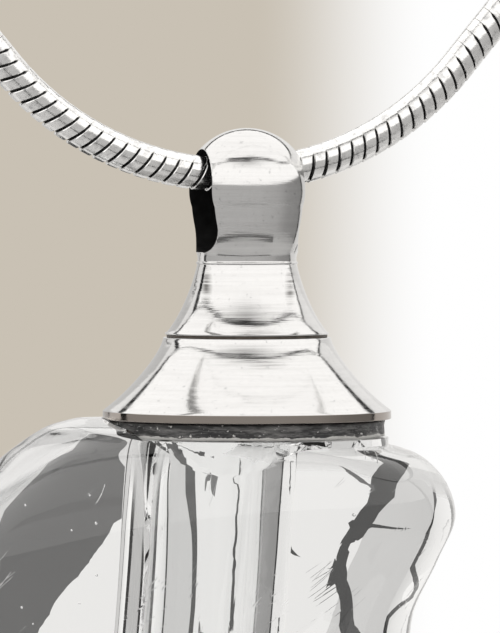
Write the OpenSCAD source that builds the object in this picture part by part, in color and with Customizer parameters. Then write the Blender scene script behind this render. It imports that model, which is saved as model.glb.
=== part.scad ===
// Glass locket on a snake chain, in millimetres. The origin is the point on
// the underside of the clasp that rests on the neck, and the locket hangs
// below it, facing -Y.

/* [Chain] */
// Length of the whole necklace, clasp included
chain_len = 450; // [400:5:500]
// Thickness of the snake chain
chain_d = 1.2; // [1:0.1:1.4]
// Radius of the bend that carries the locket
bend_r = 10.8; // [9:0.1:14]
// Slope of the chain's straight sides
side_slope = 50; // [44:1:56]

/* [Clasp] */
// Length of the barrel clasp
clasp_l = 12; // [9:0.5:16]
// Diameter of the barrel clasp
clasp_d = 2.4; // [2.2:0.1:3.2]

/* [Bail] */
// Diameter of the ball at the top of the bail
ball_d = 4.4; // [4.2:0.05:4.6]
// Width of the slot that the chain runs through
slot_w = 2.8; // [2.6:0.05:3]
// Height of the slot
slot_h = 3.6; // [3:0.1:3.8]
// Diameter of the narrow neck below the ball
neck_d = 3.48; // [3.44:0.02:3.8]
// Diameter of the upper cone at its foot
cone_d = 5.75; // [5.5:0.05:6]

/* [Cap base] */
// Diameter of the rim on the glass
rim_d = 10.1; // [9.8:0.05:10.3]
// Height of the rim's upright edge
rim_h = 0.3; // [0.2:0.05:0.4]
// Height of the flared base above the rim's edge
base_h = 2.55; // [2.4:0.05:2.8]
// Diameter of the screw stud
stud_d = 3.2; // [2.8:0.1:3.4]
// Pitch of the screw thread
thread_pitch = 0.6; // [0.4:0.05:0.7]

/* [Glass] */
// Thickness of the glass heart, front to back
glass_t = 11; // [10.6:0.1:12]
// Turn of the heart's face away from the bail's front, to its left
glass_turn = 17; // [0:1:30]
// Diameter of the chamber bored in the glass
chamber_d = 5.6; // [4.6:0.1:5.8]
// Depth of the chamber
chamber_h = 11; // [8:0.5:12]
// Sideways shift of the chamber's mouth
chamber_shift = 0.85; // [0:0.05:1]
// Lean of the chamber
chamber_lean = 5.2; // [0:0.2:6]

/* [Hidden] */
$fn = 64;
eps = 0.01;
// Running clearance, and the gap between pieces that are glued or seated
clearance = 0.05;

// Heights in the locket's own frame, whose zero is the top of the rim's edge
ball_z = 7.67;
crease_z = 5.15;
washer_t = 0.1;
cone_z = base_h + washer_t;
slot_top = ball_z + slot_w / 2 + 0.06;
ring_t = 0.54;
ring_d = rim_d - 0.4;
seat_z = -rim_h - ring_t - 2 * clearance;
boss_d = ring_d + 0.2;
thread_turns = 3;
stud_l = thread_turns * thread_pitch;
// Pulls of the turned curves, each a radius and a height: two for the cone,
// two for the neck up to the ball and two for the flare of the base
cone_pull = [[2.28, 3.32], [1.86, 4.5]];
neck_pull = [[1.66, 5.66], [2.0, 5.5]];
flare_pull = [[3.99, 0.75], [2.95, 2.1]];

// Chain route: a bend, a straight side and a wide round on each side
chain_r = chain_d / 2;
clasp_r = clasp_d / 2;
side_rad = side_slope * PI / 180;
socket_l = 1.6;
round_r = (chain_len / 2 - clasp_l / 2 - side_rad * bend_r
    - clasp_l / 2 * cos(side_slope)
    + tan(side_slope) * (bend_r - clasp_l / 2 * sin(side_slope)))
    / (tan(side_slope) + PI - side_rad);
rise = (round_r - bend_r + clasp_l / 2 * sin(side_slope)) / cos(side_slope);
chain_low = clasp_r - round_r - rise - bend_r;
bend_steps = 7;
side_steps = 4;
round_steps = 26;

// Place of the locket on the chain, a little to the right of its lowest point
locket_x = 0.5;
mouth_x = locket_x + sqrt(pow(ball_d / 2, 2) - pow(slot_w / 2, 2));
function chain_z(x) = chain_low + bend_r - sqrt(bend_r * bend_r - x * x);
hang_gap = 0.06;
locket_z = chain_z(mouth_x) + chain_r * 1.02 + hang_gap - slot_top;

// Points on an arc, and on a cubic curve through its ends
function arc(c, r, from, to, n) =
    [for (i = [0:n]) c + r * [cos(from + (to - from) * i / n), sin(from + (to - from) * i / n)]];
function curve(a, b, c, d, n) =
    [for (i = [0:n]) let (t = i / n, s = 1 - t)
        s * s * s * a + 3 * s * s * t * b + 3 * s * t * t * c + t * t * t * d];

// Sections of the glass heart, from the top down. Each row holds the height,
// the left and right ends, half the thickness as a share of glass_t, and the
// place of the fullest point between the ends.
HEIGHT = 0; LEFT = 1; RIGHT = 2; THICK = 3; FULL = 4;
heart = [
    [-0.28, -6.0, -3.5, 0.10, -5.0],
    [-0.46, -6.7, -1.5, 0.22, -4.2],
    [-0.67, -7.2, 0.5, 0.30, -3.2],
    [-1.19, -8.0, 4.9, 0.41, 1.5],
    [-2.03, -9.0, 6.6, 0.47, 3.4],
    [-3.60, -10.3, 7.3, 0.50, 3.6],
    [-5.20, -11.2, 6.7, 0.50, 3.0],
    [-7.20, -11.6, 5.8, 0.49, 2.4],
    [-9.40, -11.1, 5.7, 0.47, 1.2],
    [-11.8, -9.3, 5.5, 0.43, 0.4],
    [-14.2, -6.6, 5.1, 0.36, 0.3],
    [-16.6, -3.6, 4.6, 0.27, 0.9],
    [-18.6, -0.9, 3.8, 0.16, 1.5],
    [-19.5, 0.5, 3.0, 0.08, 1.8],
    [-19.8, 1.2, 2.4, 0.03, 1.8],
];
between = 3;
ring_points = 48;

// Row t of the heart, where t runs on smoothly between the rows
function smooth(p, q, r, s, t) =
    0.5 * (2 * q + (r - p) * t + (2 * p - 5 * q + 4 * r - s) * t * t
        + (3 * q - p - 3 * r + s) * t * t * t);
function heart_row(t) =
    let (last = len(heart) - 1, i = min(floor(t), last - 1))
    smooth(heart[max(i - 1, 0)], heart[i], heart[i + 1], heart[min(i + 2, last)], t - i);
function heart_ring(row) =
    [for (i = [0:ring_points - 1]) let (a = 360 * i / ring_points)
        [row[FULL] + cos(a) * (cos(a) > 0 ? row[RIGHT] - row[FULL] : row[FULL] - row[LEFT]),
         sin(a) * row[THICK] * glass_t, row[HEIGHT]]];

// Side and end faces of a skin over rings of n points each
function skin_faces(rings, n) = concat(
    [for (i = [0:rings - 2], k = [0:n - 1]) let (a = i * n + k, b = i * n + (k + 1) % n)
        each [[a, b, a + n], [b, b + n, a + n]]],
    [[for (k = [n - 1:-1:0]) k]],
    [[for (k = [0:n - 1]) (rings - 1) * n + k]]);

// Route of the right half of the chain, from the bend up to the clasp: each
// point holds x, z and the direction of the chain there
function route_point(c, r, a) = [c[0] + r * sin(a), c[1] - r * cos(a), a];
bend_c = [0, chain_low + bend_r];
round_c = [clasp_l / 2, clasp_r - round_r];
bend_part = [for (i = [0:bend_steps]) route_point(bend_c, bend_r, side_slope * i / bend_steps)];
round_part = [for (i = [0:round_steps])
    route_point(round_c, round_r, side_slope + (180 - side_slope) * i / round_steps)];
side_part = [for (i = [1:side_steps - 1])
    bend_part[bend_steps] + (round_part[0] - bend_part[bend_steps]) * i / side_steps];
end_part = [[clasp_l / 2 - socket_l + clearance, clasp_r, 180]];
right_half = concat(bend_part, side_part, round_part, end_part);
route = concat(
    [for (i = [len(right_half) - 1:-1:1]) let (p = right_half[i]) [-p[0], p[1], -p[2]]],
    right_half);
tube_sides = 8;
function tube_ring(p) =
    [for (k = [0:tube_sides - 1]) let (a = 360 * (k + 0.5) / tube_sides, out = chain_r * cos(a))
        [p[0] + out * sin(p[2]), -chain_r * sin(a), p[1] - out * cos(p[2])]];

// Moves a piece of the locket from the locket's own frame to its place
module hang() {
    translate([locket_x, 0, locket_z]) children();
}

module chain() {
    color("silver")
        polyhedron([for (p = route) each tube_ring(p)], skin_faces(len(route), tube_sides));
}

module clasp() {
    bevel = 0.3;
    color("silver") translate([0, 0, clasp_r]) rotate([0, 90, 0]) difference() {
        rotate_extrude() polygon([
            [0, -clasp_l / 2], [clasp_r - bevel, -clasp_l / 2], [clasp_r, -clasp_l / 2 + bevel],
            [clasp_r, clasp_l / 2 - bevel], [clasp_r - bevel, clasp_l / 2], [0, clasp_l / 2]]);
        for (side = [-1, 1]) translate([0, 0, side * (clasp_l / 2 - socket_l / 2 + eps)])
            cylinder(h = socket_l + eps, r = chain_r + clearance, center = true);
    }
}

// Cross-section of the slot through the bail: an arch over a straight foot
// with round corners
module slot_shape() {
    corner = 0.95;
    foot = slot_top - slot_h;
    half = slot_w / 2;
    translate([0, slot_top - half]) circle(half);
    translate([-half, foot + corner]) square([slot_w, slot_h - half - corner]);
    translate([-half + corner, foot]) square([slot_w - 2 * corner, slot_h - half]);
    for (side = [-1, 1]) translate([side * (half - corner), foot + corner]) circle(corner);
}

module bail_top() {
    below = 15;
    ball_r = ball_d / 2;
    ball_foot = [ball_r * cos(below), ball_z - ball_r * sin(below)];
    crease = [neck_d / 2, crease_z];
    outline = concat(
        [[0, cone_z - stud_l], [stud_d / 2, cone_z - stud_l], [stud_d / 2, cone_z]],
        curve([cone_d / 2, cone_z], cone_pull[0], cone_pull[1], crease, 6),
        curve(crease + [0, eps], neck_pull[0], neck_pull[1], ball_foot, 8),
        arc([0, ball_z], ball_r, -below + 6, 90, 18));
    color("gainsboro") hang() difference() {
        rotate_extrude($fn = 96) polygon(outline);
        rotate([90, 0, 90]) linear_extrude(3 * ball_d, center = true) slot_shape();
    }
}

module seal_washer() {
    gap = 0.01;
    color("dimgray") hang() translate([0, 0, base_h + gap]) difference() {
        cylinder(h = washer_t - 2 * gap, r = cone_d / 2 - 0.06);
        translate([0, 0, -1]) cylinder(h = 2, r = stud_d / 2 + clearance);
    }
}

module cap_base() {
    rim_r = rim_d / 2;
    bore_r = stud_d / 2 + clearance;
    step = 0.06;
    outline = concat(
        [[bore_r, base_h], [bore_r, -rim_h], [rim_r, -rim_h], [rim_r, 0]],
        curve([rim_r - eps, 0], flare_pull[0], flare_pull[1], [cone_d / 2 + step, base_h], 12));
    color("gainsboro") hang() rotate_extrude($fn = 96) polygon(outline);
}

module seat_ring() {
    ring_wall = 1.3;
    color("dimgray") hang() translate([0, 0, seat_z + clearance]) difference() {
        cylinder(h = ring_t, r = ring_d / 2);
        translate([0, 0, -1]) cylinder(h = ring_t + 2, r = ring_d / 2 - ring_wall);
    }
}

module glass_heart() {
    steps = (len(heart) - 1) * between;
    points = [for (i = [0:steps]) each heart_ring(heart_row(i / between))];
    color("aliceblue", 0.5) hang() rotate([0, 0, -glass_turn]) difference() {
        union() {
            polyhedron(points, skin_faces(steps + 1, ring_points));
            translate([0, 0, seat_z - 1.2]) cylinder(h = 1.2, r = boss_d / 2);
        }
        translate([0, 0, seat_z]) cylinder(h = 3, r = rim_d / 2 + clearance);
        translate([-chamber_shift, 0, seat_z]) rotate([0, chamber_lean, 0])
            translate([0, 0, chamber_d / 2 - chamber_h]) {
                cylinder(h = chamber_h, r = chamber_d / 2);
                sphere(chamber_d / 2);
            }
    }
}

chain();
clasp();
bail_top();
seal_washer();
cap_base();
seat_ring();
glass_heart();
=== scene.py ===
import math
import random

import bmesh
import bpy
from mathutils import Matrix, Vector


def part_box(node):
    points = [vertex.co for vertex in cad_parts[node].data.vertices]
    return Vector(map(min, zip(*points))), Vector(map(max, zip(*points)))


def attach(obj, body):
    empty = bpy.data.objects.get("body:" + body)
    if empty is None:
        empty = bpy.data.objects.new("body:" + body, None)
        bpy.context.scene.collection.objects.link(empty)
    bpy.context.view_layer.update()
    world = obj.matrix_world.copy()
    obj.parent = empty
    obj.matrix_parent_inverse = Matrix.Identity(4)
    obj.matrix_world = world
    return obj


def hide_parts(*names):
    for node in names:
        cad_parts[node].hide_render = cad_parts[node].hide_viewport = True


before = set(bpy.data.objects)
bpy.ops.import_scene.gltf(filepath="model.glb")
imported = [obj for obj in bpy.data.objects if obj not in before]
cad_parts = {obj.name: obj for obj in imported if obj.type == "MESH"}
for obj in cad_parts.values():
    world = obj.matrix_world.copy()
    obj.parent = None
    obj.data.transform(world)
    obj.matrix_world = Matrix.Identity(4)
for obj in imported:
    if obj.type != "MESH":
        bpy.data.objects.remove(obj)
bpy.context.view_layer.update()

mm = 0.001
print("frame loaded")

# The locket's own frame: its axis, and the top of the rim's upright edge
locketX = 0.5 * mm
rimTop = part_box("cap_base")[1].z - 2.55 * mm


# --- camera and studio

cameraLook = {
    "azimuth": -17.0, "elevation": 1.4,
    "lens": 400.0, "sensor": 36.0,
    "shownHeight": 22.155,  # mm from the top to the foot of the picture
    "right": 0.105, "up": 3.2725,  # aim, in mm from the rim's centre
}

turn = math.radians(cameraLook["azimuth"])
rise = math.radians(cameraLook["elevation"])
viewRight = Vector((math.cos(turn), math.sin(turn), 0))
viewForward = Vector((-math.sin(turn), math.cos(turn), 0))
backward = Vector((math.sin(turn) * math.cos(rise), -math.cos(turn) * math.cos(rise), math.sin(rise)))
aim = Vector((locketX, 0, rimTop + cameraLook["up"] * mm)) + viewRight * cameraLook["right"] * mm

camera = bpy.data.objects.new("camera", bpy.data.cameras.new("camera"))
bpy.context.scene.collection.objects.link(camera)
camera.data.type = "PERSP"
camera.data.lens = cameraLook["lens"]
camera.data.sensor_width = cameraLook["sensor"]
camera.data.clip_start, camera.data.clip_end = 0.01, 20
camera.location = aim + backward * (cameraLook["lens"] / cameraLook["sensor"] * cameraLook["shownHeight"] * mm)
camera.rotation_euler = (-backward).to_track_quat("-Z", "Y").to_euler()
bpy.context.scene.camera = camera
bpy.context.scene.view_settings.view_transform = "Standard"


def newObject(name, mesh):
    made = bpy.data.objects.new(name, mesh)
    bpy.context.scene.collection.objects.link(made)
    return made


def meshFrom(name, points, faces, smooth=True):
    mesh = bpy.data.meshes.new(name)
    mesh.from_pydata([tuple(p) for p in points], [], faces)
    mesh.validate()
    mesh.polygons.foreach_set("use_smooth", [smooth] * len(mesh.polygons))
    mesh.update()
    return mesh


class Recipe:
    def __init__(self, name):
        self.material = bpy.data.materials.new(name)
        self.material.use_nodes = True
        self.tree = self.material.node_tree
        self.shader = self.tree.nodes["Principled BSDF"]
        self.place = self.tree.nodes.new("ShaderNodeTexCoord").outputs["Object"]

    def add(self, kind, **sockets):
        made = self.tree.nodes.new(kind)
        for key, value in sockets.items():
            if hasattr(made, key):
                setattr(made, key, value)
            else:
                self.feed(made.inputs[key.replace("_", " ")], value)
        return made

    def feed(self, socket, value):
        if isinstance(value, bpy.types.NodeSocket):
            self.tree.links.new(value, socket)
        else:
            socket.default_value = value

    def stretch(self, x, y, z):
        return self.add("ShaderNodeMapping", Vector=self.place, Scale=(x, y, z)).outputs["Vector"]

    def noise(self, vector, scale, detail=3.0, roughness=0.5):
        made = self.add("ShaderNodeTexNoise", Vector=vector, Scale=scale, Detail=detail, Roughness=roughness)
        return made.outputs["Fac"]

    def ramp(self, value, *stops):
        made = self.add("ShaderNodeValToRGB", Fac=value)
        made.color_ramp.elements[0].position, made.color_ramp.elements[1].position = stops[0][0], stops[-1][0]
        for position, colour in stops[1:-1]:
            made.color_ramp.elements.new(position)
        for element, (position, colour) in zip(made.color_ramp.elements, stops):
            element.position = position
            element.color = (colour,) * 3 + (1,) if isinstance(colour, (int, float)) else (*colour, 1)
        return made.outputs["Color"]

    def mix(self, fac, first, second, blend="MIX"):
        made = self.add("ShaderNodeMix", data_type="RGBA", blend_type=blend)
        for key, value in ((0, fac), (6, first), (7, second)):
            self.feed(made.inputs[key], value)
        return made.outputs[2]

    def maths(self, operation, first, second=0.0):
        made = self.add("ShaderNodeMath", operation=operation)
        self.feed(made.inputs[0], first)
        self.feed(made.inputs[1], second)
        return made.outputs[0]

    def bump(self, height, strength, distance, under=None):
        made = self.add("ShaderNodeBump", Height=height, Strength=strength, Distance=distance)
        if under is not None:
            self.feed(made.inputs["Normal"], under)
        self.feed(self.shader.inputs["Normal"], made.outputs["Normal"])
        return made.outputs["Normal"]

    def finish(self, **sockets):
        for key, value in sockets.items():
            self.feed(self.shader.inputs[key.replace("_", " ")], value)
        return self.material


# The light tent is seen only in reflections and through the glass. Its top is
# an oval over the locket, and its walls hang from a wider oval round it, so a
# thin dark gap shows between them. Distances are in metres, turns in degrees
# from the camera's side, positive to the right.
tent = {
    "centre": Vector((locketX, 0, rimTop + 5 * mm)),
    "height": 0.76, "ovalAt": (-0.10, 0.45), "ovalSize": (1.14, 0.79),
    # How much wider the walls' upper edge is than the top, by turn
    "gap": ((0, 1.38), (50, 1.17), (85, 1.12), (110, 1.04), (125, 1.04), (140, 1.12), (160, 1.24), (180, 1.3)),
    "wallAt": 0.8, "edge": 13.4, "foot": -0.62, "rows": 14, "steps": 48, "topStep": 4,
    "walls": ((-112, 119, 1.3), (123, 239, 0.98)),  # first and last turn, and brightness above the edge
    # Brightness of the walls below that edge, by turn
    "low": ((-112, 0.50), (-60, 0.54), (20, 0.52), (60, 0.46), (84, 0.33), (119, 0.28), (123, 0.80),
            (165, 0.86), (186, 0.84), (195, 0.75), (213, 0.68), (220, 0.82), (239, 0.97)),
    # A soft grey patch on the front wall, in degrees
    "patchHigh": 55, "patchTall": 10, "patchWide": 55, "patchDepth": 0.42, "patchFade": 1.6,
    # A dark bar low in front
    "barFrom": -78, "barTo": 60, "barLow": -31, "barHigh": -25, "barAt": 0.36, "barBright": 0.13,
    # A thin dark strip behind on the left, as turns and elevations, which
    # draws a line inside the glass's right edge
    "strip": ((-124, -47), (-131, -35), (-136, -24), (-139, -15), (-143, -9), (-146, 2), (-146, 9), (-139, 13),
              (-130, 17)),
    "stripHalf": 1.3, "stripAt": 0.7, "stripBright": 0.03,
    # A pale sheet low behind, which lights the glass's shoulder
    "sheetFrom": 98, "sheetTo": 262, "sheetNear": 0.10, "sheetFar": 0.28, "sheetAt": -0.24, "sheetBright": 0.8,
    "top": 1.28, "warmth": (1.0, 0.985, 0.965),
    # Dark flags behind the glass, which draw its shape, and a grey one last:
    # a brightness, how far behind, and points to the right and up from the
    # centre, in mm
    "flags": (
        (0.13, 33, ((5, -19), (4.9, -18.4), (4.6, -17.7), (4.1, -16.5), (4.05, -15.9), (4.2, -15.3), (5, -15),
                    (6.5, -14.9), (8.8, -17.6), (16.6, -25.5), (19.4, -28.5), (20.3, -31.7), (21.8, -35.5),
                    (26.1, -42.9), (20.7, -40.2), (16.9, -36.9), (13.2, -33), (11.3, -30.6), (9.3, -28.6),
                    (7.2, -26.2), (6.2, -23), (5.5, -20.9))),
        (0.13, 24, ((0.45, -13.1), (0.3, -13.06), (0.15, -13.12), (0.08, -13.3), (0.08, -13.5), (0.18, -13.7),
                    (0.3, -13.9), (0.6, -13.95), (0.82, -13.95), (1.15, -14.4), (1.6, -15), (2.1, -15.7),
                    (2.55, -16.3), (2.72, -16.5), (2.75, -15.5), (2.92, -15), (2.9, -14.6), (2.4, -14),
                    (2.15, -13.7), (1.2, -13.62), (1, -13.6), (0.8, -13.36), (0.6, -13.18))),
        (0.06, 120, ((2.2, -12), (2, -12.6), (-1.8, -15), (-4.5, -22.2), (-11.6, -33.8), (-29.3, -73.2),
                     (-57.6, -145.9), (-68.7, -180.6), (-140, -228), (-96.8, -164.9), (-58.8, -84.8),
                     (-33, -33.1), (-16.4, -22.1), (-9.3, -13.6), (-7.6, -10.6), (-5.2, -10.1), (-2.4, -10.9),
                     (-0.6, -11.3), (1.2, -11.8))),
        (0.06, 28, ((2.9, -11), (2.2, -11), (1.4, -10.95), (-0.8, -10.5), (-3.7, -9.75), (-7.5, -8.95),
                    (-6, -9), (-3.7, -9.4), (-1.1, -10), (0.3, -10.3), (1, -10.2), (1.45, -10.15),
                    (1.75, -9.85), (1.95, -9.6), (2.3, -9.7), (2.8, -9.98), (2.95, -10.15), (2.8, -10.4),
                    (2.6, -10.55))),
        (0.05, 50, ((29.7, -23.3), (31.4, -22.5), (33.1, -22.6), (37, -23), (39.8, -22.3), (39.4, -21.1),
                    (37.9, -20.2), (37.9, -19.6), (35.9, -18.8), (36.3, -18.3), (37.1, -17.3), (36.6, -16.9),
                    (35.7, -16.4), (33.5, -15.8), (33.6, -15.6), (35.6, -15.7), (34.1, -15.5), (35.3, -15.4),
                    (34.8, -15.2), (36.5, -15.2), (37.6, -15.2), (36.7, -15.2), (36, -15.2), (36.3, -15.3),
                    (34.9, -15.2), (34.2, -13.6), (35.5, -13.6), (36.9, -14.1), (37.5, -14.2), (38.7, -14.4),
                    (40.6, -15.1), (39.9, -15.5), (40.2, -15.6), (39, -15.8), (40.8, -16), (38.4, -15.9),
                    (38.1, -16.2), (40.1, -16.7), (41, -17.2), (41.4, -17.7), (40.2, -18.7), (39.6, -19.2),
                    (41.6, -19.9), (41.5, -20.5), (43.2, -21.5), (43.4, -22.8), (40.1, -23.5), (34.7, -23),
                    (33.2, -22.9), (31.1, -23.6))),
        (0.62, 125, ((-8, -8.6), (-8, -13), (-8, -22), (-12, -32), (-22, -48), (-45, -66), (-90, -90),
                     (-109, -76), (-98, -46), (-86, -20), (-75, 2), (-75, 24), (-80, 31), (-104, 42),
                     (-145, 64), (-90, 64), (-40, 34), (-20, 14), (-10, 0))),
    ),
}


def lightCard(name, points, faces, brightness, shade=None):
    made = newObject(name, meshFrom(name, points, faces, smooth=False))
    material = bpy.data.materials.new(name)
    material.use_nodes = True
    nodes, links = material.node_tree.nodes, material.node_tree.links
    light = nodes.new("ShaderNodeEmission")
    light.inputs["Color"].default_value = (*tent["warmth"], 1)
    light.inputs["Strength"].default_value = brightness
    if shade:
        made.data.color_attributes.new("shade", "FLOAT_COLOR", "POINT")
        for corner, value in zip(made.data.color_attributes["shade"].data, shade):
            corner.color = (*(value * c for c in tent["warmth"]), 1)
        read = nodes.new("ShaderNodeVertexColor")
        read.layer_name = "shade"
        links.new(read.outputs["Color"], light.inputs["Color"])
    links.new(light.outputs["Emission"], nodes["Material Output"].inputs["Surface"])
    made.data.materials.append(material)
    made.visible_camera = False
    made.visible_shadow = False
    return made


def tentPoint(turned, distance, height):
    a = math.radians(turned)
    return (tent["centre"] + viewRight * (distance * math.sin(a)) - viewForward * (distance * math.cos(a))
            + Vector((0, 0, height)))


def ovalReach(turned):
    # How far the oval's edge is from the centre in that direction
    a = math.radians(turned)
    (right, forward), (wide, long) = tent["ovalAt"], tent["ovalSize"]
    x, y = math.sin(a) / wide, -math.cos(a) / long
    u, v = -right / wide, -forward / long
    half, rest = x * u + y * v, u * u + v * v - 1
    return (-half + math.sqrt(half * half - (x * x + y * y) * rest)) / (x * x + y * y)


def between(stops, value):
    for (a, low), (b, high) in zip(stops, stops[1:]):
        if value <= b:
            return low + (high - low) * (value - a) / (b - a)
    return stops[-1][1]


def skin(rows, columns):
    # Faces of an open sheet of points
    return [(r * columns + c, r * columns + c + 1, (r + 1) * columns + c + 1, (r + 1) * columns + c)
            for r in range(rows - 1) for c in range(columns - 1)]


def wrap(bands, sides, start=0):
    # Faces of a row of rings that have the same number of points
    faces = []
    for band in range(bands):
        p, q = start + band * sides, start + (band + 1) * sides
        for k in range(sides):
            n = (k + 1) % sides
            faces.append((p + k, q + k, q + n, p + n))
    return faces


def turnsBetween(first, last):
    return [first + (last - first) * i / tent["steps"] for i in range(tent["steps"] + 1)]


def heightAt(distance, elevation):
    return distance * math.tan(math.radians(elevation))


def wallRows(turned, edgeHeight, bright):
    # From the walls' edge up to the top, with the grey patch's shade
    points, shade = [], []
    for row in range(tent["rows"] + 1):
        for t in turned:
            gap = between(tent["gap"], 180 - abs(180 - abs(t)))
            foot = tentPoint(t, tent["wallAt"], edgeHeight)
            points.append(foot.lerp(tentPoint(t, ovalReach(t) * gap, tent["height"]), row / tent["rows"]))
            way = points[-1] - tent["centre"]
            high = math.degrees(math.atan2(way.z, math.hypot(way.x, way.y)))
            far = ((high - tent["patchHigh"]) / tent["patchTall"]) ** 2 + (t / tent["patchWide"]) ** 2
            shade.append(bright * (1 - tent["patchDepth"] * math.exp(-tent["patchFade"] * far)))
    return points, shade


def makeTent():
    look, columns = tent, tent["steps"] + 1
    rim = [tentPoint(t, ovalReach(t), look["height"]) for t in range(0, 360, look["topStep"])]
    lightCard("tent_top", rim, [tuple(range(len(rim)))], look["top"])
    edgeHeight = heightAt(look["wallAt"], look["edge"])
    for first, last, bright in look["walls"]:
        turned = turnsBetween(first, last)
        points, shade = wallRows(turned, edgeHeight, bright)
        lightCard("tent_wall_%d" % first, points, skin(look["rows"] + 1, columns), 1.0, shade)
        points = [tentPoint(t, look["wallAt"], height) for height in (look["foot"], edgeHeight) for t in turned]
        shade = [between(look["low"], t) for t in turned] * 2
        lightCard("tent_low_%d" % first, points, skin(2, columns), 1.0, shade)
    points = [tentPoint(t, look["barAt"], heightAt(look["barAt"], high))
              for high in (look["barLow"], look["barHigh"]) for t in turnsBetween(look["barFrom"], look["barTo"])]
    lightCard("tent_bar", points, skin(2, columns), look["barBright"])
    points = [tentPoint(t + side * look["stripHalf"], look["stripAt"], heightAt(look["stripAt"], high))
              for side in (-1, 1) for t, high in look["strip"]]
    lightCard("tent_strip", points, skin(2, len(look["strip"])), look["stripBright"])
    points = [tentPoint(t, distance, look["sheetAt"]) for distance in (look["sheetNear"], look["sheetFar"])
              for t in turnsBetween(look["sheetFrom"], look["sheetTo"])]
    sheet = lightCard("tent_sheet", points, skin(2, columns), look["sheetBright"])
    sheet.visible_diffuse = False
    for n, (bright, behind, corners) in enumerate(look["flags"]):
        points = [look["centre"] + viewForward * behind * mm + viewRight * x * mm + Vector((0, 0, z * mm))
                  for x, z in corners]
        lightCard("tent_flag_%d" % n, points, [tuple(range(len(points)))], bright)


makeTent()

# Behind the tent the picture shows a pale wall, beige on the left and white on the right
wall = {
    "beige": (0.584, 0.533, 0.456), "white": (1.0, 1.0, 1.0),
    "beigeEnd": 0.000, "whiteStart": 0.027,  # sideways share of the direction
    "unlit": 0.02,
}
world = bpy.data.worlds.new("wall")
world.use_nodes = True
bpy.context.scene.world = world
wallNodes, wallLinks = world.node_tree.nodes, world.node_tree.links
direction = wallNodes.new("ShaderNodeTexCoord").outputs["Generated"]
across = wallNodes.new("ShaderNodeVectorMath")
across.operation = "DOT_PRODUCT"
across.inputs[1].default_value = viewRight
wallLinks.new(direction, across.inputs[0])
share = wallNodes.new("ShaderNodeMapRange")
share.interpolation_type = "SMOOTHSTEP"
share.inputs["From Min"].default_value = wall["beigeEnd"]
share.inputs["From Max"].default_value = wall["whiteStart"]
wallLinks.new(across.outputs["Value"], share.inputs["Value"])
tint = wallNodes.new("ShaderNodeMix")
tint.data_type = "RGBA"
tint.inputs[6].default_value = (*wall["beige"], 1)
tint.inputs[7].default_value = (*wall["white"], 1)
wallLinks.new(share.outputs["Result"], tint.inputs[0])
seen = wallNodes.new("ShaderNodeMix")
seen.data_type = "RGBA"
seen.inputs[6].default_value = (wall["unlit"],) * 3 + (1,)
wallLinks.new(tint.outputs[2], seen.inputs[7])
wallLinks.new(wallNodes.new("ShaderNodeLightPath").outputs["Is Camera Ray"], seen.inputs[0])
wallLinks.new(seen.outputs[2], wallNodes["Background"].inputs["Color"])

floorLook = {"height": -0.42, "radius": 1.1, "colour": 0.62, "fadeFrom": 0.35, "fadeTo": 1.078, "sides": 96}


def makeFloor():
    points = [(floorLook["radius"] * math.cos(a), floorLook["radius"] * math.sin(a), floorLook["height"])
              for a in (math.tau * i / floorLook["sides"] for i in range(floorLook["sides"]))]
    floor = newObject("floor", meshFrom("floor", points, [tuple(range(floorLook["sides"]))]))
    recipe = Recipe("pale_floor")
    grain = recipe.noise(recipe.place, 60, 4)
    recipe.finish(Base_Color=recipe.ramp(grain, (0.3, floorLook["colour"] * 0.97), (0.7, floorLook["colour"])),
                  Roughness=0.8)
    length = recipe.add("ShaderNodeVectorMath", operation="LENGTH")
    recipe.feed(length.inputs[0], recipe.stretch(1, 1, 0))
    fade = recipe.add("ShaderNodeMapRange", Value=length.outputs["Value"], interpolation_type="SMOOTHSTEP",
                      From_Min=floorLook["fadeFrom"], From_Max=floorLook["fadeTo"], To_Min=1.0, To_Max=0.0)
    recipe.finish(Alpha=fade.outputs["Result"])
    floor.data.materials.append(recipe.material)


makeFloor()
print("camera, tent and floor made")


# --- chain

chainLook = {
    # Millimetres and degrees, as the solid has them
    "length": 450.0, "thickness": 1.2, "bend": 10.8, "slope": 50.0,
    "claspLength": 12.0, "claspThick": 2.4, "intoClasp": 1.55,
    # The gap is shut above one height on the link and open below the other,
    # as shares of its radius
    "pitch": 0.5075, "gap": 0.08, "closedAbove": 0.62, "openBelow": 0.42,
    "slant": 20.0, "bow": 0.05, "edge": 0.028, "crown": 0.004, "core": 0.5,
    "near": 24.0, "nearSides": 48, "farSides": 12,  # finer links beside the bail
    "coreSides": 12, "coreSteps": 260,
}


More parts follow.
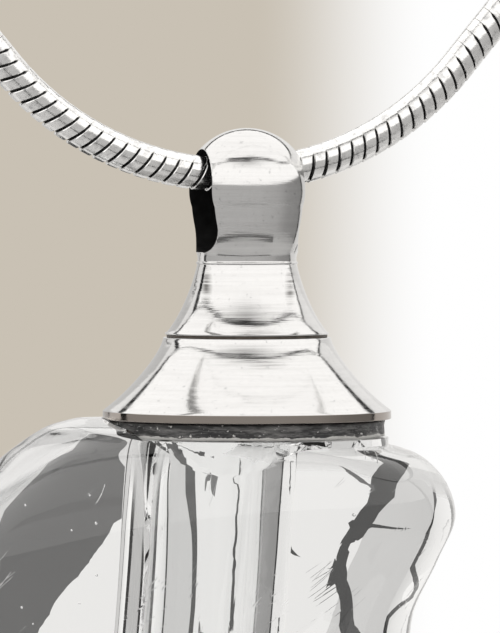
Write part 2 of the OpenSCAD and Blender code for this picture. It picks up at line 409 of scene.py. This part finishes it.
def chainRoute():
    half = chainLook["claspLength"] / 2
    bend, slope = chainLook["bend"], math.radians(chainLook["slope"])
    roundR = (chainLook["length"] / 2 - half - slope * bend - half * math.cos(slope)
              + math.tan(slope) * (bend - half * math.sin(slope))) / (math.tan(slope) + math.pi - slope)
    side = (roundR - bend + half * math.sin(slope)) / math.cos(slope)
    topZ = chainLook["claspThick"] / 2
    low = topZ - roundR - side - bend
    lengths = [slope * bend, 0, (math.pi - slope) * roundR, chainLook["intoClasp"]]
    bendEnd = (bend * math.sin(slope), low + bend - bend * math.cos(slope))
    roundStart = (half + roundR * math.sin(slope), topZ - roundR - roundR * math.cos(slope))
    lengths[1] = math.dist(bendEnd, roundStart)

    def place(s):  # x, z and direction at distance s from the lowest point, right half
        if s < lengths[0]:
            a = s / bend
            return bend * math.sin(a), low + bend - bend * math.cos(a), a
        s -= lengths[0]
        if s < lengths[1]:
            t = s / lengths[1]
            return (bendEnd[0] + (roundStart[0] - bendEnd[0]) * t,
                    bendEnd[1] + (roundStart[1] - bendEnd[1]) * t, slope)
        s -= lengths[1]
        if s < lengths[2]:
            a = slope + s / roundR
            return half + roundR * math.sin(a), topZ - roundR - roundR * math.cos(a), a
        return half - (s - lengths[2]), topZ, math.pi

    def whole(s):
        x, z, a = place(abs(s))
        return (x, z, a) if s >= 0 else (-x, z, -a)

    return whole, sum(lengths)


def makeChain():
    # Each link is a flat ring that leans along the chain, with a gap to the
    # next one that closes towards the top
    look = chainLook
    whole, reach = chainRoute()
    count = round(2 * reach / look["pitch"])
    pitch = 2 * reach / count
    radius, slant, edge = look["thickness"] / 2, math.tan(math.radians(look["slant"])), look["edge"]
    # A link's section: which side of it, moved inwards or not, and the radius
    section = ((-1, 0, look["core"]), (-1, 0, radius - edge), (-1, 1, radius), (0, 0, radius),
               (1, 1, radius), (1, 0, radius - edge), (1, 0, look["core"]))
    points, faces = [], []
    for i in range(count):
        s = -reach + pitch * (i + 0.5)
        x, z, a = whole(s)
        along, up = Vector((math.cos(a), 0, math.sin(a))), Vector((-math.sin(a), 0, math.cos(a)))
        sides = look["nearSides"] if abs(s) < look["near"] else look["farSides"]
        start = len(points)
        for side, inwards, r in section:
            for k in range(sides):
                angle = math.tau * (k + 0.5) / sides
                high, deep = math.cos(angle), math.sin(angle)
                share = (look["closedAbove"] - high) / (look["closedAbove"] - look["openBelow"])
                opened = min(1.0, max(0.0, share))
                half = (pitch - look["gap"] * opened) / 2 - inwards * edge * (0.4 + 0.6 * opened)
                shift = side * half + slant * radius * high - look["bow"] * high * high
                reachOut = r + (look["crown"] if side == 0 else 0)
                points.append((Vector((x, reachOut * deep, z)) + along * shift + up * (reachOut * high)) * mm)
        faces += wrap(len(section) - 1, sides, start)
    made = newObject("snake_chain", meshFrom("snake_chain", points, faces))
    made.data.set_sharp_from_angle(angle=math.radians(34))
    return made


def makeCore():
    # A near-black core, painted shade that shows in the gaps
    whole, reach = chainRoute()
    steps, sides, radius = chainLook["coreSteps"], chainLook["coreSides"], chainLook["core"]
    points = []
    for i in range(steps + 1):
        x, z, a = whole(-reach + 2 * reach * i / steps)
        up = Vector((-math.sin(a), 0, math.cos(a)))
        for k in range(sides):
            angle = math.tau * k / sides
            points.append((Vector((x, radius * math.sin(angle), z)) + up * (radius * math.cos(angle))) * mm)
    faces = wrap(steps, sides)
    faces += [tuple(range(sides)), tuple(steps * sides + k for k in reversed(range(sides)))]
    return newObject("chain_core", meshFrom("chain_core", points, faces))


chain, chainCore = makeChain(), makeCore()
recipe = Recipe("chain_silver")
scuffs = recipe.noise(recipe.stretch(1, 1, 1), 4200, 4, 0.65)
fine = recipe.noise(recipe.stretch(1, 0.3, 1.6), 15000, 2)
recipe.bump(recipe.mix(0.4, scuffs, fine), 0.12, 0.00004)
colour = recipe.ramp(scuffs, (0.30, 0.58), (0.47, (0.88, 0.875, 0.865)), (0.75, (0.97, 0.97, 0.965)))
recipe.finish(Base_Color=colour, Metallic=1.0, Roughness=recipe.ramp(fine, (0.3, 0.10), (0.75, 0.24)))
chain.data.materials.append(recipe.material)
# Painted shade: the core is near black so the gaps between links read dark
recipe = Recipe("chain_core_painted_shade")
recipe.finish(Base_Color=recipe.ramp(recipe.noise(recipe.place, 3000), (0.3, 0.008), (0.7, 0.03)),
              Metallic=0.5, Roughness=0.6)
chainCore.data.materials.append(recipe.material)
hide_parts("chain")
for piece in (chain, chainCore):
    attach(piece, "necklace")
print("chain made")


# --- cap

# Diameters and heights in mm, the heights from the rim's upper edge
capLook = {
    "ballD": 4.4, "ballZ": 7.67, "ballFoot": 15.0, "neckD": 3.48, "creaseZ": 5.15, "coneD": 5.75, "coneZ": 2.65,
    "rimD": 10.1, "rimH": 0.3, "baseH": 2.55, "studD": 3.2, "studLength": 1.8, "boreD": 3.3,
    "slotW": 2.8, "slotH": 3.6, "slotCorner": 0.95, "slotTop": 9.13,
    "conePull": ((2.28, 3.32), (1.86, 4.5)), "neckPull": ((1.66, 5.66), (2.0, 5.5)),
    "flarePull": ((3.99, 0.75), (2.95, 2.1)), "lip": 0.06, "bead": 0.05,
    "beadSunk": 0.01,
    "threadTurns": 3, "threadPitch": 0.6, "threadDeep": 0.12, "threadStart": 0.08, "studChamfer": 0.03,
    "turns": 160, "edge": 0.035, "rimEdge": 0.03,
}


def curve(a, b, c, d, count):
    made = []
    for i in range(count + 1):
        t = i / count
        s = 1 - t
        made.append(tuple(s ** 3 * p + 3 * s * s * t * q + 3 * s * t * t * u + t ** 3 * v
                          for p, q, u, v in zip(a, b, c, d)))
    return made


tiny = 1e-6  # mm: a point this near the axis lies on it


def turnedFaces(rings, turns, closed=False):
    # Rings of point numbers, where a ring of one lies on the axis
    faces = []
    for low, high in zip(rings, rings[1:] + rings[:1] if closed else rings[1:]):
        for k in range(turns):
            n = (k + 1) % turns
            if len(low) == 1:
                faces.append((low[0], high[n], high[k]))
            elif len(high) == 1:
                faces.append((low[k], low[n], high[0]))
            else:
                faces.append((low[k], low[n], high[n], high[k]))
    return faces


def lathe(name, outline, turns, closed=False):
    # outline is a list of (radius, height) in mm, in the locket's own frame
    points, rings = [], []
    for r, z in outline:
        if r < tiny:
            rings.append([len(points)])
            points.append((locketX, 0, rimTop + z * mm))
            continue
        rings.append(list(range(len(points), len(points) + turns)))
        for k in range(turns):
            a = math.tau * k / turns
            points.append((locketX + r * math.cos(a) * mm, r * math.sin(a) * mm, rimTop + z * mm))
    return newObject(name, meshFrom(name, points, turnedFaces(rings, turns, closed)))


def rounded(r, z, edge, fromAngle, toAngle, count=4):
    # A small round on a turned edge, as points on an arc about (r, z)
    return [(r + edge * math.cos(math.radians(fromAngle + (toAngle - fromAngle) * i / count)),
             z + edge * math.sin(math.radians(fromAngle + (toAngle - fromAngle) * i / count)))
            for i in range(count + 1)]


def makeBail():
    look = capLook
    ballR, foot, edge = look["ballD"] / 2, math.radians(look["ballFoot"]), look["edge"]
    crease = (look["neckD"] / 2, look["creaseZ"])
    studR, studZ = look["studD"] / 2, look["coneZ"] - look["studLength"]
    rootR = studR - look["threadDeep"]
    # Six points for each turn of the thread, two of them on its crest
    step = look["threadPitch"] / 6
    thread = [(studR if i % 6 in (2, 3) else rootR, studZ + look["threadStart"] + i * step)
              for i in range(look["threadTurns"] * 6)]
    outline = [(0, studZ), (rootR - look["studChamfer"], studZ)] + thread + [(rootR, look["coneZ"])]
    outline += rounded(look["coneD"] / 2 - edge, look["coneZ"] + edge, edge, -90, 20)
    cone = curve((look["coneD"] / 2, look["coneZ"]), *look["conePull"], crease, 40)
    outline += [p for p in cone if look["coneZ"] + edge * 1.6 < p[1] < crease[1] - look["bead"]]
    outline += rounded(crease[0] - look["beadSunk"], crease[1], look["bead"], -80, 80, 6)
    neck = curve(crease, *look["neckPull"], (ballR * math.cos(foot), look["ballZ"] - ballR * math.sin(foot)), 44)
    outline += [p for p in neck if p[1] > crease[1] + look["bead"]]
    ball = [math.radians(-look["ballFoot"] + 2.5 + (90 + look["ballFoot"] - 2.5) * i / 60) for i in range(61)]
    outline += [(max(0.0, ballR * math.cos(a)), look["ballZ"] + ballR * math.sin(a)) for a in ball]
    return lathe("bail_turned", outline, look["turns"])


def tidyNormals(piece):
    mesh = bmesh.new()
    mesh.from_mesh(piece.data)
    bmesh.ops.recalc_face_normals(mesh, faces=mesh.faces)
    mesh.to_mesh(piece.data)
    mesh.free()


def makeSlotCutter():
    look = capLook
    half, corner, top = look["slotW"] / 2, look["slotCorner"], look["slotTop"]
    foot = top - look["slotH"]
    shape = [(half * math.cos(math.radians(a)), top - half + half * math.sin(math.radians(a)))
             for a in range(0, 181, 6)]
    for sign, fromAngle in ((-1, 180), (1, 270)):
        for a in range(0, 91, 10):
            angle = math.radians(fromAngle + a)
            shape.append((sign * (half - corner) + corner * math.cos(angle),
                          foot + corner + corner * math.sin(angle)))
    count = len(shape)
    points = [(locketX + x * mm, y * mm, rimTop + z * mm) for x in (-6, 6) for y, z in shape]
    faces = [(k, (k + 1) % count, count + (k + 1) % count, count + k) for k in range(count)]
    faces += [tuple(reversed(range(count))), tuple(range(count, 2 * count))]
    cutter = newObject("slot_cutter", meshFrom("slot_cutter", points, faces, smooth=False))
    tidyNormals(cutter)
    return cutter


def applyModifiers(piece):
    graph = bpy.context.evaluated_depsgraph_get()
    mesh = bpy.data.meshes.new_from_object(piece.evaluated_get(graph))
    old = piece.data
    piece.modifiers.clear()
    piece.data = mesh
    bpy.data.meshes.remove(old)


def cut(piece, cutter, operation="DIFFERENCE"):
    step = piece.modifiers.new("cut", "BOOLEAN")
    step.operation, step.object, step.solver = operation, cutter, "EXACT"
    applyModifiers(piece)
    bpy.data.objects.remove(cutter)


def softenEdges(piece, width, angle=35, segments=2):
    step = piece.modifiers.new("soften", "BEVEL")
    step.width, step.segments, step.limit_method = width * mm, segments, "ANGLE"
    step.angle_limit = math.radians(angle)
    step.harden_normals = False
    applyModifiers(piece)
    piece.data.shade_smooth()
    step = piece.modifiers.new("weight", "WEIGHTED_NORMAL")
    step.keep_sharp = True
    applyModifiers(piece)


bail = makeBail()
cut(bail, makeSlotCutter())
softenEdges(bail, 0.03)


def makeBase():
    look = capLook
    rimR, edge, bore, topR = look["rimD"] / 2, look["rimEdge"], look["boreD"] / 2, look["coneD"] / 2 + look["lip"]
    outline = [(bore, -look["rimH"])]
    outline += rounded(rimR - edge, -look["rimH"] + edge, edge, -90, 0)
    outline += rounded(rimR - edge, -edge, edge, 0, 50, 3)
    flare = curve((rimR - 0.01, 0), *look["flarePull"], (topR, look["baseH"]), 60)
    outline += [p for p in flare if edge < p[1] < look["baseH"] - 0.05]
    outline += rounded(topR - edge, look["baseH"] - edge, edge, 28, 90)
    outline += [(bore, look["baseH"])]
    return lathe("cap_flare", outline, look["turns"], closed=True)


base = makeBase()
softenEdges(base, 0.0001, 60, 1)


silverLook = {
    "front": 17.0,  # turn of the polished front, in degrees
    # Dull patches left by polishing: right, up, half width and half height in
    # Painted dark reflections on the front, soft spots streaked along the lathe marks: right, up, half width and
    # half height in mm from the axis and the rim, and how dark
    "paintedDarkReflections": ((0.0, 3.43, 2.1, 0.42, 0.30), (0.4, 2.84, 1.15, 0.16, 0.55), (0.0, 1.96, 1.9, 0.50, 0.42),
             (0.7, 1.66, 0.85, 0.17, 0.50), (-1.42, 4.4, 0.24, 0.85, 0.9), (1.5, 4.3, 0.22, 0.8, 0.9),
             (0.4, 8.62, 1.0, 0.2, 0.14)),
}


def silverRecipe(name, paintedRimReflection=False):
    recipe = Recipe(name)
    # Lathe marks: fine rings round the axis, broken along the turn
    marks = recipe.noise(recipe.stretch(260, 260, 9000), 1.0, 5, 0.6)
    broad = recipe.noise(recipe.stretch(120, 120, 2600), 1.0, 3, 0.5)
    specks = recipe.noise(recipe.place, 5200, 3, 0.6)
    normal = recipe.bump(marks, 0.10, 0.00003)
    recipe.bump(broad, 0.14, 0.00008, normal)
    colour = recipe.ramp(specks, (0.25, 0.55), (0.36, (0.735, 0.73, 0.725)), (0.8, (0.76, 0.757, 0.752)))
    lines = recipe.ramp(marks, (0.36, 1.0), (0.6, 0.0))
    colour = recipe.mix(recipe.maths("MULTIPLY", lines, 0.10), colour, (0.3, 0.29, 0.28, 1))
    # Painted dark reflections: each spot darkens the colour towards near black, streaked along the lathe marks
    for right, up, wide, tall, depth in silverLook["paintedDarkReflections"]:
        middle = (locketX + right * mm * viewRight.x, right * mm * viewRight.y, rimTop + up * mm)
        turned = recipe.add("ShaderNodeMapping", Vector=recipe.place, vector_type="TEXTURE", Location=middle,
                            Rotation=(0, 0, math.radians(-silverLook["front"])), Scale=(wide * mm, 0.02, tall * mm))
        length = recipe.add("ShaderNodeVectorMath", operation="LENGTH")
        recipe.feed(length.inputs[0], turned.outputs["Vector"])
        spot = recipe.ramp(length.outputs["Value"], (0.15, 1.0), (0.98, 0.0))
        streaked = recipe.maths("MULTIPLY", recipe.ramp(marks, (0.40, 1.0), (0.58, 0.2)), depth)
        paintedDarkness = recipe.maths("MULTIPLY", spot, streaked)
        colour = recipe.mix(paintedDarkness, colour, (0.10, 0.095, 0.09, 1))
    if paintedRimReflection:
        # Painted reflection: below the rim's top, the upright rim wall is coloured a darker tan
        high = recipe.add("ShaderNodeSeparateXYZ", Vector=recipe.place).outputs["Z"]
        below = recipe.maths("LESS_THAN", high, rimTop - 0.00002)
        colour = recipe.mix(below, colour, (0.40, 0.355, 0.32, 1))
    recipe.finish(Base_Color=colour, Metallic=1.0, Roughness=recipe.ramp(marks, (0.3, 0.05), (0.75, 0.16)))
    return recipe.material


silver, rimSilverPaintedReflection = silverRecipe("polished_silver"), silverRecipe("rim_silver_painted_reflection", paintedRimReflection=True)
# Painted shade: the inside of the slot is near black and almost matt
recipe = Recipe("slot_painted_shade")
recipe.finish(Base_Color=recipe.ramp(recipe.noise(recipe.place, 3000), (0.3, 0.004), (0.7, 0.012)), Roughness=0.6,
              Specular_IOR_Level=0.1)
slotShade = recipe.material


def darkenSlot(piece):
    # The painted-shade material goes on the faces that lie inside the turned outline
    piece.data.materials.clear()
    for material in (silver, slotShade):
        piece.data.materials.append(material)
    for face in piece.data.polygons:
        x, y, z = (face.center.x - locketX) / mm, face.center.y / mm, (face.center.z - rimTop) / mm
        # Within the ball above, and within the widening neck below
        inside = math.hypot(x, y, z - capLook["ballZ"]) < capLook["ballD"] / 2 - 0.05
        if z < capLook["ballZ"] - 1.4:
            inside = math.hypot(x, y) < capLook["neckD"] / 2 - 0.02 + max(0, z - 5.6) * 0.3
        face.material_index = int(inside and z > capLook["creaseZ"] + 0.2)


for piece, node, body in ((bail, "bail_top", "bail"), (base, "cap_base", "locket")):
    piece.data.materials.clear()
    piece.data.materials.append(silver if piece is bail else rimSilverPaintedReflection)
    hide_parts(node)
    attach(piece, body)
darkenSlot(bail)

recipe = Recipe("dark_seal")
colour = recipe.ramp(recipe.noise(recipe.place, 4000), (0.3, (0.05, 0.04, 0.032)), (0.7, (0.12, 0.095, 0.075)))
recipe.finish(Base_Color=colour, Roughness=0.5)
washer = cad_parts["seal_washer"]
washer.data.materials.clear()
washer.data.materials.append(recipe.material)
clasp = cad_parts["clasp"]
clasp.data.materials.clear()
clasp.data.materials.append(silver)
print("cap made")


# --- seat ring

ringLook = {
    "radius": 4.85, "wall": 1.3, "low": -0.89, "high": -0.35, "turns": 220,
    "rows": 8, "chamfer": 0.1,
    "rough": 0.06, "inwards": 0.6, "waves": 14, "seed": 7,  # how deep the uneven face is, in mm
    "glueTop": -0.64, "glueWander": 0.30,
}


def makeSeatRing():
    look = ringLook
    random.seed(look["seed"])
    outline = []
    outer, inner, low, high = look["radius"], look["radius"] - look["wall"], look["low"], look["high"]
    for i in range(look["rows"] + 1):
        outline.append((outer, low + (high - low) * i / look["rows"]))
    outline += [(outer - look["chamfer"], high), (inner, high), (inner, low), (outer - look["chamfer"], low)]
    ring = lathe("cement_ring", outline, look["turns"], closed=True)
    waves = [(random.uniform(5, 60), random.uniform(0, math.tau), random.uniform(2, 20), random.uniform(0.3, 1))
             for i in range(look["waves"])]
    total = sum(w[3] for w in waves)
    for vertex in ring.data.vertices:
        x, y, z = (vertex.co.x - locketX) / mm, vertex.co.y / mm, (vertex.co.z - rimTop) / mm
        r = math.hypot(x, y)
        if r < outer - 2 * look["chamfer"]:
            continue
        a = math.atan2(y, x)
        sway = sum(w * math.sin(round(f) * a + p + g * z) for f, p, g, w in waves) / total
        depth = look["rough"] * (sway - look["inwards"])
        scale = (r + depth) / r
        vertex.co.x, vertex.co.y = locketX + x * scale * mm, y * scale * mm
    return ring


ring = makeSeatRing()
recipe = Recipe("seat_cement")
lumps = recipe.noise(recipe.stretch(1, 1, 1.6), 2600, 5, 0.7)
streaks = recipe.noise(recipe.stretch(800, 800, 5200), 1.0, 5, 0.75)
specks = recipe.ramp(recipe.noise(recipe.stretch(1, 1, 1.7), 4300, 4, 0.62), (0.625, 0.0), (0.665, 1.0))
streaks = recipe.ramp(streaks, (0.46, 0.0), (0.70, 1.0))
colour = recipe.mix(streaks, (0.026, 0.026, 0.027, 1), (0.24, 0.235, 0.23, 1))
colour = recipe.mix(specks, colour, (0.75, 0.74, 0.72, 1))
# A pale smear of glue along the foot, its edge uneven
height = recipe.add("ShaderNodeSeparateXYZ", Vector=recipe.place).outputs["Z"]
wander = recipe.noise(recipe.stretch(1, 1, 0.4), 1300, 4, 0.65)
wander = recipe.maths("MULTIPLY", wander, ringLook["glueWander"] * mm)
smear = recipe.maths("LESS_THAN", recipe.maths("ADD", height, wander), rimTop + ringLook["glueTop"] * mm)
colour = recipe.mix(smear, colour, (0.62, 0.61, 0.59, 1))
recipe.bump(lumps, 0.7, 0.00008)
recipe.finish(Base_Color=colour, Roughness=0.45)
ring.data.materials.append(recipe.material)
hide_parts("seat_ring")
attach(ring, "locket")
print("seat ring made")


# --- glass

glassLook = {
    "thick": 11.0, "turn": 17.0, "sides": 112, "between": 8,
    "seat": -0.94, "bossR": 4.95, "pocketR": 5.1,
    "bossDeep": 1.2, "pocketTop": 3, "seatTurns": 160,
    "chamberD": 5.6, "chamberH": 11.0, "chamberShift": 0.85, "chamberLean": 5.2,
    "chamberRings": (-6, -4, -2, 0.6), "chamberTurns": 128,
    "seed": 11, "bubble": (0.022, 0.055),  # smallest and largest radius
    # Bubbles: how many, and the ends of the region across, in depth and up
    "bubbles": ((20, (-9.2, -4.6), (-2.2, 2.2), (-11.0, -3.2)), (9, (3.3, 5.0), (-2.0, 2.0), (-9.5, -2.8))),
    # Scratches: the turn of the long side, in degrees, how far in mm one runs, and how wide apart they lie
    "scratches": ((-48, 8.0, 0.70), (-37, 6.0, 0.50)), "scratchWidth": 0.006,
    "worn": (5.2, -3.2, -3.9), "wornSize": 3.0,  # where the most scratches lie
}
# Sections from the top down: height, left and right ends, half the thickness
# as a share of the whole, and the fullest point between the ends
heart = [
    (-0.28, -6.0, -3.5, 0.10, -5.0), (-0.46, -6.7, -1.5, 0.22, -4.2), (-0.67, -7.2, 0.5, 0.30, -3.2),
    (-1.19, -8.0, 4.9, 0.41, 1.5), (-2.03, -9.0, 6.6, 0.47, 3.4), (-3.60, -10.3, 7.3, 0.50, 3.6),
    (-5.20, -11.2, 6.7, 0.50, 3.0), (-7.20, -11.6, 5.8, 0.49, 2.4), (-9.40, -11.1, 5.7, 0.47, 1.2),
    (-11.8, -9.3, 5.5, 0.43, 0.4), (-14.2, -6.6, 5.1, 0.36, 0.3), (-16.6, -3.6, 4.6, 0.27, 0.9),
    (-18.6, -0.9, 3.8, 0.16, 1.5), (-19.5, 0.5, 3.0, 0.08, 1.8), (-19.8, 1.2, 2.4, 0.03, 1.8),
]


def toLocket(x, y, z):
    # From the heart's own frame, turned about the axis, to the whole frame
    a = math.radians(-glassLook["turn"])
    return Vector((locketX + (x * math.cos(a) - y * math.sin(a)) * mm,
                   (x * math.sin(a) + y * math.cos(a)) * mm, rimTop + z * mm))


def smoothRow(t):
    last = len(heart) - 1
    i = min(int(t), last - 1)
    u = t - i
    p, q, r, s = heart[max(i - 1, 0)], heart[i], heart[i + 1], heart[min(i + 2, last)]
    return [0.5 * (2 * q[j] + (r[j] - p[j]) * u + (2 * p[j] - 5 * q[j] + 4 * r[j] - s[j]) * u * u
                   + (3 * q[j] - p[j] - 3 * r[j] + s[j]) * u ** 3) for j in range(5)]


def makeGlass():
    look = glassLook
    steps, sides = (len(heart) - 1) * look["between"], look["sides"]
    points, faces = [], wrap(steps, sides)
    for i in range(steps + 1):
        high, left, right, thick, full = smoothRow(i / look["between"])
        for k in range(sides):
            a = math.tau * k / sides
            reach = right - full if math.cos(a) > 0 else full - left
            points.append(toLocket(full + math.cos(a) * reach, math.sin(a) * thick * look["thick"], high))
    top, foot = len(points), len(points) + 1
    high, left, right, thick, full = heart[0]
    points.append(toLocket(full, 0, high))
    high, left, right, thick, full = heart[-1]
    points.append(toLocket(full, 0, high))
    for k in range(sides):
        n = (k + 1) % sides
        faces.append((top, k, n))
        faces.append((foot, steps * sides + n, steps * sides + k))
    glass = newObject("glass_body", meshFrom("glass_body", points, faces))
    tidyNormals(glass)
    seat = look["seat"]
    cut(glass, tube("boss", look["bossR"], seat - look["bossDeep"], seat), "UNION")
    cut(glass, tube("pocket", look["pocketR"], seat, look["pocketTop"]))
    cut(glass, makeChamber())
    addBubbles(glass)
    return glass


def addBubbles(glass):
    # Small round hollows in the glass: their faces look inwards
    random.seed(glassLook["seed"])
    mesh = bmesh.new()
    mesh.from_mesh(glass.data)
    for count, *region in glassLook["bubbles"]:
        for i in range(count):
            middle = toLocket(*(random.uniform(*ends) for ends in region))
            size = random.uniform(*glassLook["bubble"]) * mm
            made = bmesh.ops.create_icosphere(mesh, subdivisions=2, radius=size)
            bmesh.ops.translate(mesh, verts=made["verts"], vec=middle)
            faces = {face for vertex in made["verts"] for face in vertex.link_faces}
            bmesh.ops.reverse_faces(mesh, faces=list(faces))
    mesh.to_mesh(glass.data)
    mesh.free()


def tube(name, r, low, high):
    made = lathe(name, [(0, low), (r, low), (r, high), (0, high)], glassLook["seatTurns"])
    tidyNormals(made)
    return made


def makeChamber():
    look = glassLook
    r, lean = look["chamberD"] / 2, math.radians(look["chamberLean"])
    outline = [(r * math.sin(math.radians(a)), -look["chamberH"] + r - r * math.cos(math.radians(a)))
               for a in range(0, 91, 5)]
    outline += [(r, z) for z in look["chamberRings"]] + [(0, look["chamberRings"][-1])]
    turns = look["chamberTurns"]
    points, rings = [], []
    for rad, z in outline:
        ringPoints = []
        for k in range(turns if rad > tiny else 1):
            a = math.tau * k / turns
            x, y = rad * math.cos(a), rad * math.sin(a)
            leaned = (x * math.cos(lean) + z * math.sin(lean) - look["chamberShift"],
                      y, -x * math.sin(lean) + z * math.cos(lean) + look["seat"])
            ringPoints.append(len(points))
            points.append(toLocket(*leaned))
        rings.append(ringPoints)
    made = newObject("chamber", meshFrom("chamber", points, turnedFaces(rings, turns)))
    tidyNormals(made)
    return made


glass = makeGlass()
glass.data.shade_smooth()
glass.data.set_sharp_from_angle(angle=math.radians(38))
recipe = Recipe("clear_glass")
scratches = recipe.ramp(recipe.noise(recipe.stretch(2600, 700, 400), 1.0, 4, 0.7), (0.74, 0.0), (0.80, 1.0))
lines = None
for angle, far, apart in glassLook["scratches"]:
    turned = recipe.add("ShaderNodeMapping", Vector=recipe.place, vector_type="TEXTURE",
                        Rotation=(0, math.radians(angle), 0), Scale=(far * mm, far * mm, apart * mm))
    level, width = recipe.noise(turned.outputs["Vector"], 1.0, 1), glassLook["scratchWidth"]
    line = recipe.ramp(level, (0.5 - width, 0.0), (0.5, 1.0), (0.5 + width, 0.0))
    lines = line if lines is None else recipe.mix(1.0, lines, line, "LIGHTEN")
worn = recipe.add("ShaderNodeVectorMath", operation="DISTANCE")
recipe.feed(worn.inputs[0], recipe.place)
recipe.feed(worn.inputs[1], toLocket(*glassLook["worn"]))
worn = recipe.maths("MULTIPLY", recipe.maths("SUBTRACT", glassLook["wornSize"] * mm, worn.outputs["Value"]), 45)
level = recipe.maths("ADD", recipe.noise(recipe.place, 420, 2), recipe.maths("MAXIMUM", worn, -0.03))
broken = recipe.ramp(level, (0.57, 0.0), (0.66, 1.0))
recipe.bump(recipe.mix(1.0, lines, broken, "MULTIPLY"), 0.08, 0.00003)
recipe.finish(Base_Color=(0.985, 0.99, 0.99, 1), Transmission_Weight=1.0, IOR=1.5,
              Roughness=recipe.ramp(scratches, (0.0, 0.0), (1.0, 0.05)))
glass.data.materials.clear()
glass.data.materials.append(recipe.material)
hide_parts("glass_heart")
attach(glass, "locket")
print("glass made")
